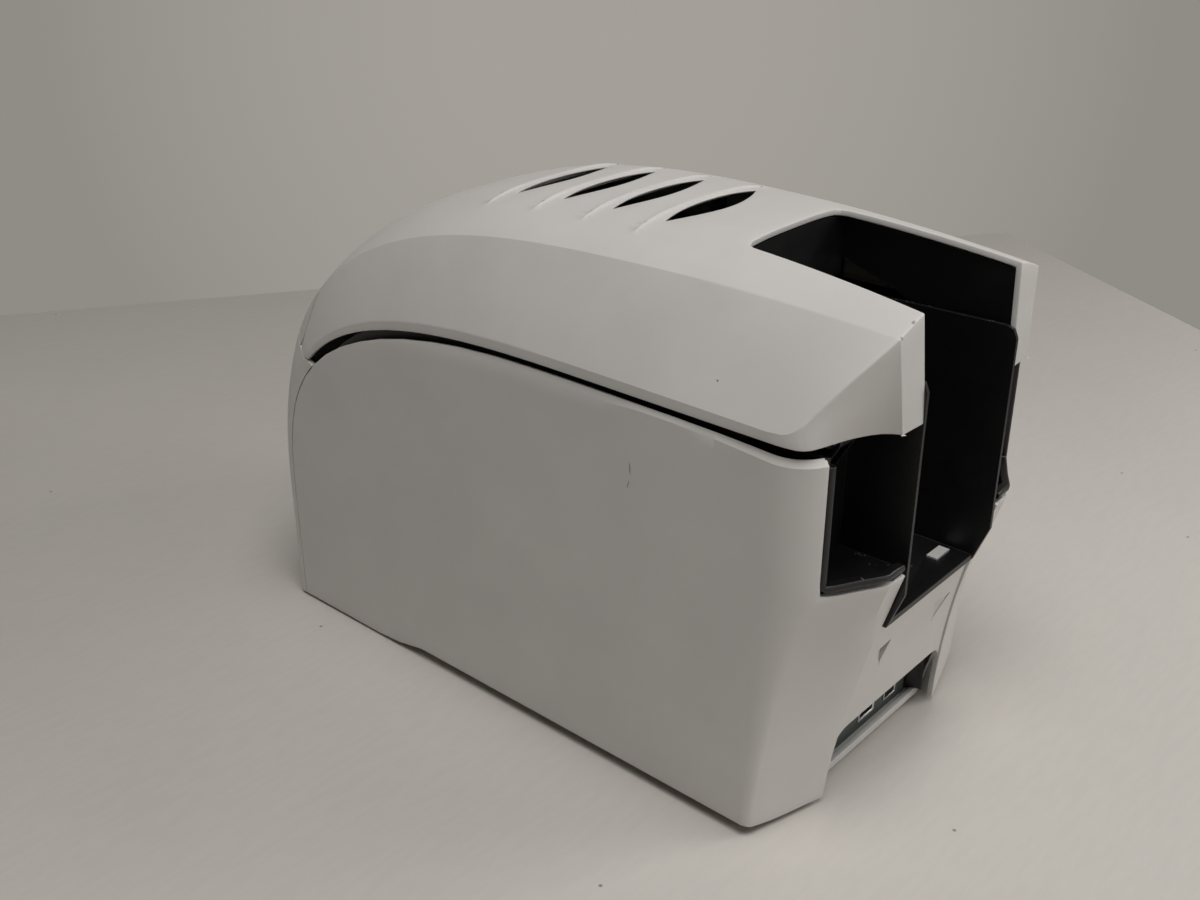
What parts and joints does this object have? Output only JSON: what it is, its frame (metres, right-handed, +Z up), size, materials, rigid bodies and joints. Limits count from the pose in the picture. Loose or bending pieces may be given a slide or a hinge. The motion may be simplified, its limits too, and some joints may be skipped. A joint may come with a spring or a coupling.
{
  "type": "id card printer",
  "caption": "Desktop card printer with a lift-up domed cover, louvred crown, rear card well, card path rollers, print head and front output hopper.",
  "frame": {"origin": "middle of the foot print, on the surface that the feet stand on", "axes": "+X to the side shown in the picture, -Y to the front with the output hopper, +Z up"},
  "size_m": [0.205, 0.396, 0.2754],
  "materials": {
    "shell_white": "fine satin moulded grain",
    "liner_black": "matte black moulding",
    "foot_rubber": "matte",
    "catch_grey": "satin",
    "plate_steel": "zinc plated sheet",
    "rod_steel": "ground",
    "port_grey": "greenish grey paint",
    "socket_metal": "tinned shell",
    "socket_black": "satin",
    "board_green": "solder mask",
    "bush_bronze": "sintered",
    "roller_rubber": "matte ground",
    "tacky_blue": "smooth tacky",
    "gear_white": "acetal, satin",
    "pinion_brass": "turned",
    "motor_dark": "satin black",
    "belt_black": "matte",
    "ribbon_dark": "glossy film",
    "window_black": "gloss",
    "button_silver": "satin silver",
    "button_blue": "satin",
    "head_alu": "machined",
    "carrier_dark": "glass filled moulding"
  },
  "bodies": {
    "root": {"base_tray": "shell_white", "rubber_feet": "foot_rubber", "side_panel_right": "shell_white", "side_panel_left": "shell_white", "rear_panel": "shell_white", "front_bezel": "shell_white", "output_hopper": "liner_black", "card_hopper": "liner_black", "side_shrouds": "liner_black", "cassette_catch": "catch_grey", "port_plate": "port_grey", "network_socket": "socket_metal", "usb_socket": "socket_metal", "power_inlet": "socket_black", "main_board": "board_green", "frame_plate_right": "plate_steel", "frame_plate_left": "plate_steel", "frame_tie_rods": "rod_steel", "shaft_bushes": "bush_bronze", "idler_axles": "rod_steel", "drive_motor": "motor_dark", "idler_stud": "rod_steel", "drive_belt": "belt_black", "ribbon_web": "ribbon_dark", "takeup_motor": "rod_steel", "hinge_pins": "rod_steel", "latch_pin": "rod_steel", "housing_screws": "rod_steel", "fan_frame": "motor_dark"},
    "cover": {"top_cover": "shell_white", "cover_fascia": "shell_white", "cover_liner": "liner_black", "hinge_knuckles": "liner_black", "head_carrier": "carrier_dark", "display_window": "window_black", "latch_keeper": "plate_steel"},
    "head": {"print_head": "head_alu"},
    "status_key": {"status_button": "button_silver"},
    "power_key": {"power_button": "button_silver"},
    "release_key": {"release_button": "button_blue"},
    "hook": {"latch_hook": "carrier_dark"},
    "platen": {"platen_roller": "roller_rubber"},
    "idler": {"idler_gear": "gear_white"},
    "motor_gear": {"motor_pinion": "pinion_brass"},
    "feed": {"feed_roller": "roller_rubber"},
    "cleaner": {"cleaning_roller": "tacky_blue"},
    "transport": {"transport_roller": "roller_rubber"},
    "exit": {"exit_roller": "roller_rubber"},
    "cleaner_idler": {"clean_idler": "roller_rubber"},
    "transport_idler": {"drive_idler": "roller_rubber"},
    "exit_idler": {"exit_idler": "roller_rubber"},
    "takeup": {"ribbon_takeup": "ribbon_dark"},
    "supply": {"ribbon_supply": "ribbon_dark"},
    "takeup_gear": {"takeup_pinion": "pinion_brass"},
    "fan": {"cooling_fan": "motor_dark"}
  },
  "joints": [
    {"name": "cover_hinge", "type": "hinge", "parent": "root", "child": "cover", "pos_m": [0, 0.172, 0.21], "axis": [-1, 0, 0], "range_deg": [0, 48]},
    {"name": "head_float", "type": "slide", "parent": "cover", "child": "head", "axis": [0, 0, 1], "range_m": [0, 0.0015], "stiffness_N_per_m": 4000, "springref_m": -0.002},
    {"name": "status_press", "type": "slide", "parent": "cover", "child": "status_key", "axis": [0, 0.9063, -0.4226], "range_m": [0, 0.001], "stiffness_N_per_m": 300, "springref_m": -0.001},
    {"name": "power_press", "type": "slide", "parent": "root", "child": "power_key", "axis": [0, 1, 0], "range_m": [0, 0.0015], "stiffness_N_per_m": 300, "springref_m": -0.001},
    {"name": "release_press", "type": "slide", "parent": "root", "child": "release_key", "axis": [0, 1, 0], "range_m": [0, 0.002], "stiffness_N_per_m": 500, "springref_m": -0.001},
    {"name": "hook_turn", "type": "hinge", "parent": "root", "child": "hook", "pos_m": [0, -0.144, 0.15], "axis": [1, 0, 0], "range_deg": [0, 16.1]},
    {"name": "platen_spin", "type": "hinge", "parent": "root", "child": "platen", "pos_m": [0, -0.002, 0.1021], "axis": [1, 0, 0], "continuous": true},
    {"name": "idler_spin", "type": "hinge", "parent": "root", "child": "idler", "pos_m": [0, -0.002, 0.07098], "axis": [1, 0, 0], "continuous": true},
    {"name": "motor_spin", "type": "hinge", "parent": "root", "child": "motor_gear", "pos_m": [0, 0.01364, 0.05534], "axis": [1, 0, 0], "continuous": true},
    {"name": "feed_spin", "type": "hinge", "parent": "root", "child": "feed", "pos_m": [0, 0.118, 0.1021], "axis": [1, 0, 0], "continuous": true},
    {"name": "cleaner_spin", "type": "hinge", "parent": "root", "child": "cleaner", "pos_m": [0, 0.078, 0.1021], "axis": [1, 0, 0], "continuous": true},
    {"name": "transport_spin", "type": "hinge", "parent": "root", "child": "transport", "pos_m": [0, -0.078, 0.1021], "axis": [1, 0, 0], "continuous": true},
    {"name": "exit_spin", "type": "hinge", "parent": "root", "child": "exit", "pos_m": [0, -0.14, 0.1021], "axis": [1, 0, 0], "continuous": true},
    {"name": "cleaner_idler_spin", "type": "hinge", "parent": "root", "child": "cleaner_idler", "pos_m": [0, 0.078, 0.1153], "axis": [1, 0, 0], "continuous": true},
    {"name": "transport_idler_spin", "type": "hinge", "parent": "root", "child": "transport_idler", "pos_m": [0, -0.078, 0.1153], "axis": [1, 0, 0], "continuous": true},
    {"name": "exit_idler_spin", "type": "hinge", "parent": "root", "child": "exit_idler", "pos_m": [0, -0.14, 0.1153], "axis": [1, 0, 0], "continuous": true},
    {"name": "takeup_spin", "type": "hinge", "parent": "root", "child": "takeup", "pos_m": [0, -0.052, 0.15], "axis": [1, 0, 0], "continuous": true},
    {"name": "supply_spin", "type": "hinge", "parent": "root", "child": "supply", "pos_m": [0, 0.042, 0.15], "axis": [1, 0, 0], "continuous": true},
    {"name": "takeup_gear_spin", "type": "hinge", "parent": "root", "child": "takeup_gear", "pos_m": [0, -0.06835, 0.13365], "axis": [1, 0, 0], "continuous": true},
    {"name": "fan_spin", "type": "hinge", "parent": "root", "child": "fan", "pos_m": [0, -0.04, 0.012], "axis": [0, 0, 1], "continuous": true}
  ],
  "couplings": [
    {"joint": "hook_turn", "follows": "release_press", "rad_per_m": 140},
    {"joint": "idler_spin", "follows": "platen_spin", "ratio": -1.0667},
    {"joint": "motor_spin", "follows": "platen_spin", "ratio": 2.2857},
    {"joint": "feed_spin", "follows": "platen_spin", "ratio": 1},
    {"joint": "cleaner_spin", "follows": "platen_spin", "ratio": 1},
    {"joint": "transport_spin", "follows": "platen_spin", "ratio": 1},
    {"joint": "exit_spin", "follows": "platen_spin", "ratio": 1},
    {"joint": "cleaner_idler_spin", "follows": "platen_spin", "ratio": -1.4},
    {"joint": "transport_idler_spin", "follows": "platen_spin", "ratio": -1.4},
    {"joint": "exit_idler_spin", "follows": "platen_spin", "ratio": -1.4},
    {"joint": "supply_spin", "follows": "takeup_spin", "ratio": 0.70588},
    {"joint": "takeup_gear_spin", "follows": "takeup_spin", "ratio": -2.8333}
  ]
}
